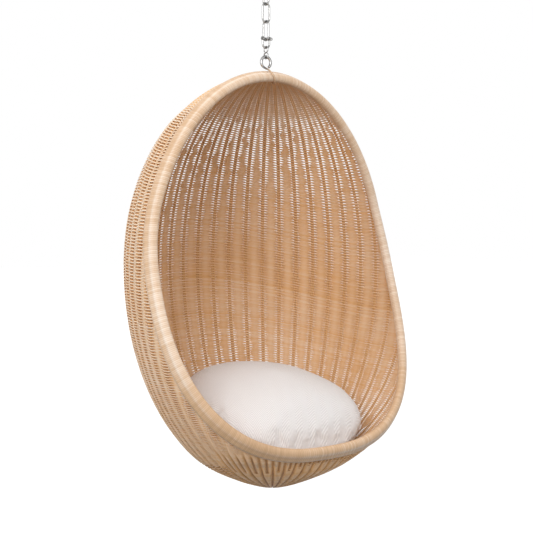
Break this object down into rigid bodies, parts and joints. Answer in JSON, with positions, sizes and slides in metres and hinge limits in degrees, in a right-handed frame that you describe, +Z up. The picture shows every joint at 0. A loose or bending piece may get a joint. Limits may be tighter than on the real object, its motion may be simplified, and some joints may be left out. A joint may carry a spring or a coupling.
{
  "type": "hanging egg chair",
  "caption": "Egg-shaped woven cane seat with a wrapped oval rim and a round cushion, hung by a short chain, shackle and hooks from a ceiling plate with a ball-bearing swivel.",
  "frame": {"origin": "centre of the ceiling plate's top face, where it meets the ceiling", "axes": "+Z up, the chair opens towards -Y, +X to the right when one looks along +Y into the opening"},
  "size_m": [0.9254, 0.7037, 1.5635],
  "materials": {
    "plate_steel": "zinc-plated steel, satin, fine spangle and light scuffs",
    "bearing_steel": "ground bearing steel, bright",
    "chain_steel": "bright stainless wire, slightly dulled where the links rub",
    "hook_steel": "bright stainless rod with faint draw lines",
    "wrap_cane": "pale glossy cane peel, wound edge to edge",
    "frame_steel": "brown powder-coated steel tube, hidden by the wrapping",
    "rattan_pole": "skinned rattan pole, matt",
    "woven_cane": "plain weave of split cane, honey coloured with red-brown shadows, satin",
    "stake_cane": "round rattan core in pairs, satin",
    "cushion_cloth": "off-white ribbed cotton, soft and matt",
    "cushion_fill": "white fibre filling"
  },
  "bodies": {
    "ceiling": {"ceiling_plate": "plate_steel", "bearing_housing": "plate_steel", "lower_washer": "bearing_steel"},
    "ball_ring": {"bearing_balls": "bearing_steel"},
    "swivel": {"upper_washer": "bearing_steel", "stem_nut": "bearing_steel", "swivel_eye": "hook_steel"},
    "link_1": {"chain_link_1": "chain_steel"},
    "link_2": {"chain_link_2": "chain_steel"},
    "link_3": {"chain_link_3": "chain_steel"},
    "shackle": {"shackle_bow": "chain_steel"},
    "pin": {"shackle_pin": "chain_steel"},
    "hook": {"s_hook": "hook_steel"},
    "chair": {"hanger_hook": "hook_steel", "rim_wrap": "wrap_cane", "rim_pole": "frame_steel", "edge_pole": "rattan_pole", "woven_shell": "woven_cane", "stakes_back": "stake_cane", "stakes_left": "stake_cane", "stakes_right": "stake_cane", "stakes_front": "stake_cane", "base_knot": "stake_cane"},
    "cushion": {"cushion_cover": "cushion_cloth", "cushion_core": "cushion_fill"}
  },
  "joints": [
    {"name": "swivel_turn", "type": "hinge", "parent": "ceiling", "child": "swivel", "pos_m": [0, 0, -0.0468], "axis": [0, 0, 1], "continuous": true},
    {"name": "ball_orbit", "type": "hinge", "parent": "ceiling", "child": "ball_ring", "pos_m": [0, 0, -0.0468], "axis": [0, 0, 1], "continuous": true},
    {"name": "link_1_swing", "type": "hinge", "parent": "swivel", "child": "link_1", "pos_m": [0, 0, -0.0588], "axis": [1, 0, 0], "range_deg": [-30, 30]},
    {"name": "link_2_swing", "type": "hinge", "parent": "link_1", "child": "link_2", "pos_m": [0, 0, -0.111], "axis": [0, 1, 0], "range_deg": [-30, 30]},
    {"name": "link_3_swing", "type": "hinge", "parent": "link_2", "child": "link_3", "pos_m": [0, 0, -0.1647], "axis": [1, 0, 0], "range_deg": [-30, 30]},
    {"name": "shackle_swing", "type": "hinge", "parent": "link_3", "child": "shackle", "pos_m": [0, 0, -0.2184], "axis": [0, 1, 0], "range_deg": [-30, 30]},
    {"name": "pin_turn", "type": "hinge", "parent": "shackle", "child": "pin", "pos_m": [0, 0, -0.2126], "axis": [1, 0, 0], "range_deg": [0, 1080]},
    {"name": "hook_swing", "type": "hinge", "parent": "shackle", "child": "hook", "pos_m": [0, 0, -0.2416], "axis": [1, 0, 0], "range_deg": [-30, 30]},
    {"name": "chair_sway", "type": "hinge", "parent": "hook", "child": "chair", "pos_m": [0, 0, -0.2736], "axis": [0, 1, 0], "range_deg": [-25, 25]},
    {"name": "cushion_lift", "type": "slide", "parent": "chair", "child": "cushion", "axis": [0, 0, 1], "range_m": [0, 0.25]}
  ],
  "couplings": [
    {"joint": "ball_orbit", "follows": "swivel_turn", "ratio": 0.5}
  ]
}
